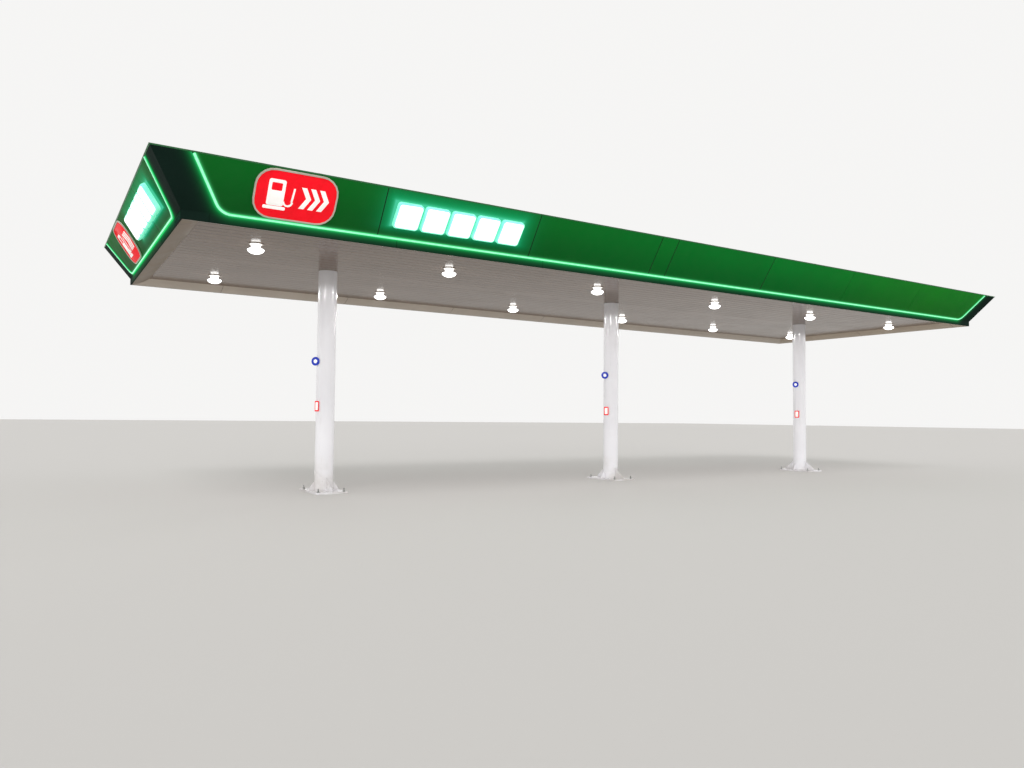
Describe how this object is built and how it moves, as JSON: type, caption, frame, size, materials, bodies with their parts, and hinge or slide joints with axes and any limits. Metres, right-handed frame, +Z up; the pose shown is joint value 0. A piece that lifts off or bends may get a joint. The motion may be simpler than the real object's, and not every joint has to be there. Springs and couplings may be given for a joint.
{
  "type": "filling station canopy",
  "caption": "Long flat canopy on one row of round steel columns, with an outward-leaning lit fascia, a grooved soffit with lamps and an open steel roof frame.",
  "frame": {"origin": "ground level under the middle of the roof, at the foot of the middle column", "axes": "+X along the roof, -Y towards the front, +Z up"},
  "size_m": [24.166, 8.306, 5.59],
  "materials": {
    "column": "gloss white paint",
    "frame_steel": "grey primer, satin",
    "deck": "zinc-grey coated sheet",
    "gutter": "galvanised sheet",
    "fascia_green": "gloss green coated panel",
    "border_dark": "satin charcoal green coated panel",
    "cap": "grey-green flashing",
    "light_line": "luminous green-white tube",
    "soffit": "gloss pale grey-beige coated strips",
    "lamp_housing": "white enamel",
    "lamp_glass": "prismatic glass, lit"
  },
  "bodies": {
    "root": {"column_left": "column", "column_middle": "column", "column_right": "column", "corner_front_left": "border_dark", "corner_front_right": "border_dark", "corner_rear_left": "border_dark", "corner_rear_right": "border_dark", "cross_beam_left": "frame_steel", "cross_beam_middle": "frame_steel", "cross_beam_right": "frame_steel", "front_cap_flashing": "cap", "front_fascia_frame": "frame_steel", "front_fascia_panels": "fascia_green", "front_light_line": "light_line", "front_lip": "border_dark", "front_roof_beams": "frame_steel", "front_roof_deck": "deck", "front_soffit": "soffit", "front_soffit_cove": "soffit", "lamp_glasses": "lamp_glass", "lamp_housings": "lamp_housing", "left_cap_flashing": "cap", "left_fascia_frame": "frame_steel", "left_fascia_panels": "fascia_green", "left_light_line": "light_line", "left_lip": "border_dark", "left_soffit_cove": "soffit", "rear_cap_flashing": "cap", "rear_fascia_frame": "frame_steel", "rear_fascia_panels": "fascia_green", "rear_light_line": "light_line", "rear_lip": "border_dark", "rear_roof_beams": "frame_steel", "rear_roof_deck": "deck", "rear_soffit": "soffit", "rear_soffit_cove": "soffit", "right_cap_flashing": "cap", "right_fascia_frame": "frame_steel", "right_fascia_panels": "fascia_green", "right_light_line": "light_line", "right_lip": "border_dark", "right_soffit_cove": "soffit", "roof_gutter": "gutter", "soffit_rails": "frame_steel"}
  },
  "joints": []
}
